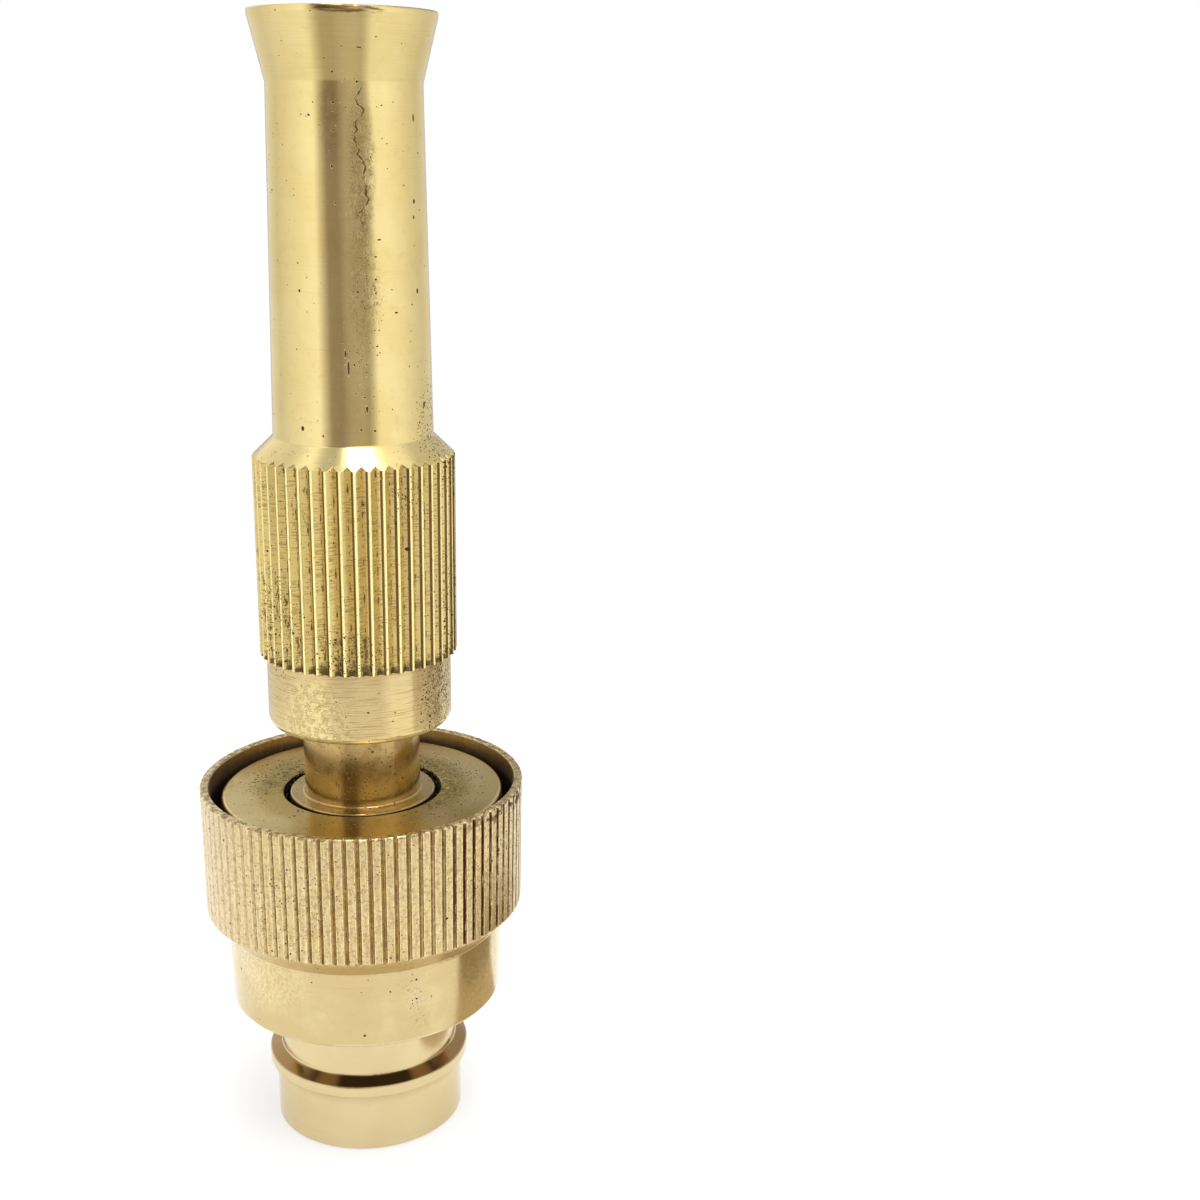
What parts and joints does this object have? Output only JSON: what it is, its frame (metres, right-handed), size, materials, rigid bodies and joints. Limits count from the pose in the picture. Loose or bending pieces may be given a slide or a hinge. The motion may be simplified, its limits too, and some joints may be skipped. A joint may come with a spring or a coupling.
{
  "type": "hose spray nozzle",
  "caption": "Straight twist hose nozzle of brass with a knurled grip, on a sliding-sleeve quick coupler and a beaded hose spigot.",
  "frame": {"origin": "centre of the hose spigot's end face, which the nozzle stands on", "axes": "+Z along the water's way, from the hose spigot up to the spray mouth; X and Y are across it"},
  "size_m": [0.0346, 0.0346, 0.1184],
  "materials": {
    "brass_barrel": "satin turned",
    "brass_sleeve": "satin, knurled",
    "brass_core": "satin turned, stained",
    "brass_stem": "polished turned",
    "brass_plug": "smooth satin",
    "brass_inner": "machined",
    "steel_ball": "ground and polished",
    "steel_spring": "drawn wire",
    "rubber_seal": "matt black",
    "fibre": "matt red fibre",
    "nylon": "natural nylon"
  },
  "bodies": {
    "plug": {"hose_plug": "brass_plug", "plug_o_ring": "rubber_seal"},
    "coupler": {"coupler_core": "brass_core", "nose_washer": "rubber_seal", "sleeve_retaining_ring": "steel_spring", "sleeve_spring": "steel_spring", "stem_gasket": "fibre", "stem": "brass_stem", "stem_o_ring": "rubber_seal", "valve_tip": "brass_inner", "valve_seal": "rubber_seal"},
    "sleeve": {"release_sleeve": "brass_sleeve"},
    "seal_pack": {"wiper_seal": "rubber_seal", "slip_washer": "nylon"},
    "barrel": {"barrel": "brass_barrel", "gland_ring": "brass_inner"},
    "ball_1": {"lock_ball_1": "steel_ball"},
    "ball_2": {"lock_ball_2": "steel_ball"},
    "ball_3": {"lock_ball_3": "steel_ball"},
    "ball_4": {"lock_ball_4": "steel_ball"},
    "ball_5": {"lock_ball_5": "steel_ball"},
    "ball_6": {"lock_ball_6": "steel_ball"},
    "ball_7": {"lock_ball_7": "steel_ball"},
    "ball_8": {"lock_ball_8": "steel_ball"}
  },
  "joints": [
    {"name": "coupler_swivel", "type": "hinge", "parent": "plug", "child": "coupler", "pos_m": [0, 0, 0.0235], "axis": [0, 0, 1], "continuous": true},
    {"name": "sleeve_slide", "type": "slide", "parent": "coupler", "child": "sleeve", "axis": [0, 0, 1], "range_m": [0, 0.004], "stiffness_N_per_m": 2000, "springref_m": -0.004, "deforming": ["sleeve_spring"]},
    {"name": "barrel_advance", "type": "slide", "parent": "coupler", "child": "seal_pack", "axis": [0, 0, 1], "range_m": [-0.0045, 0.003]},
    {"name": "barrel_twist", "type": "hinge", "parent": "seal_pack", "child": "barrel", "pos_m": [0, 0, 0.06], "axis": [0, 0, 1], "range_deg": [-540, 360]},
    {"name": "ball_1_slide", "type": "slide", "parent": "coupler", "child": "ball_1", "axis": [1, 0, 0], "range_m": [0, 0.0012]},
    {"name": "ball_2_slide", "type": "slide", "parent": "coupler", "child": "ball_2", "axis": [0.7071, 0.7071, 0], "range_m": [0, 0.0012]},
    {"name": "ball_3_slide", "type": "slide", "parent": "coupler", "child": "ball_3", "axis": [0, 1, 0], "range_m": [0, 0.0012]},
    {"name": "ball_4_slide", "type": "slide", "parent": "coupler", "child": "ball_4", "axis": [-0.7071, 0.7071, 0], "range_m": [0, 0.0012]},
    {"name": "ball_5_slide", "type": "slide", "parent": "coupler", "child": "ball_5", "axis": [-1, 0, 0], "range_m": [0, 0.0012]},
    {"name": "ball_6_slide", "type": "slide", "parent": "coupler", "child": "ball_6", "axis": [-0.7071, -0.7071, 0], "range_m": [0, 0.0012]},
    {"name": "ball_7_slide", "type": "slide", "parent": "coupler", "child": "ball_7", "axis": [0, -1, 0], "range_m": [0, 0.0012]},
    {"name": "ball_8_slide", "type": "slide", "parent": "coupler", "child": "ball_8", "axis": [0.7071, -0.7071, 0], "range_m": [0, 0.0012]}
  ],
  "couplings": [
    {"joint": "barrel_twist", "follows": "barrel_advance", "rad_per_m": 2094.4},
    {"joint": "ball_1_slide", "follows": "sleeve_slide", "ratio": 0.2999},
    {"joint": "ball_2_slide", "follows": "sleeve_slide", "ratio": 0.2999},
    {"joint": "ball_3_slide", "follows": "sleeve_slide", "ratio": 0.2999},
    {"joint": "ball_4_slide", "follows": "sleeve_slide", "ratio": 0.2999},
    {"joint": "ball_5_slide", "follows": "sleeve_slide", "ratio": 0.2999},
    {"joint": "ball_6_slide", "follows": "sleeve_slide", "ratio": 0.2999},
    {"joint": "ball_7_slide", "follows": "sleeve_slide", "ratio": 0.2999},
    {"joint": "ball_8_slide", "follows": "sleeve_slide", "ratio": 0.2999}
  ]
}
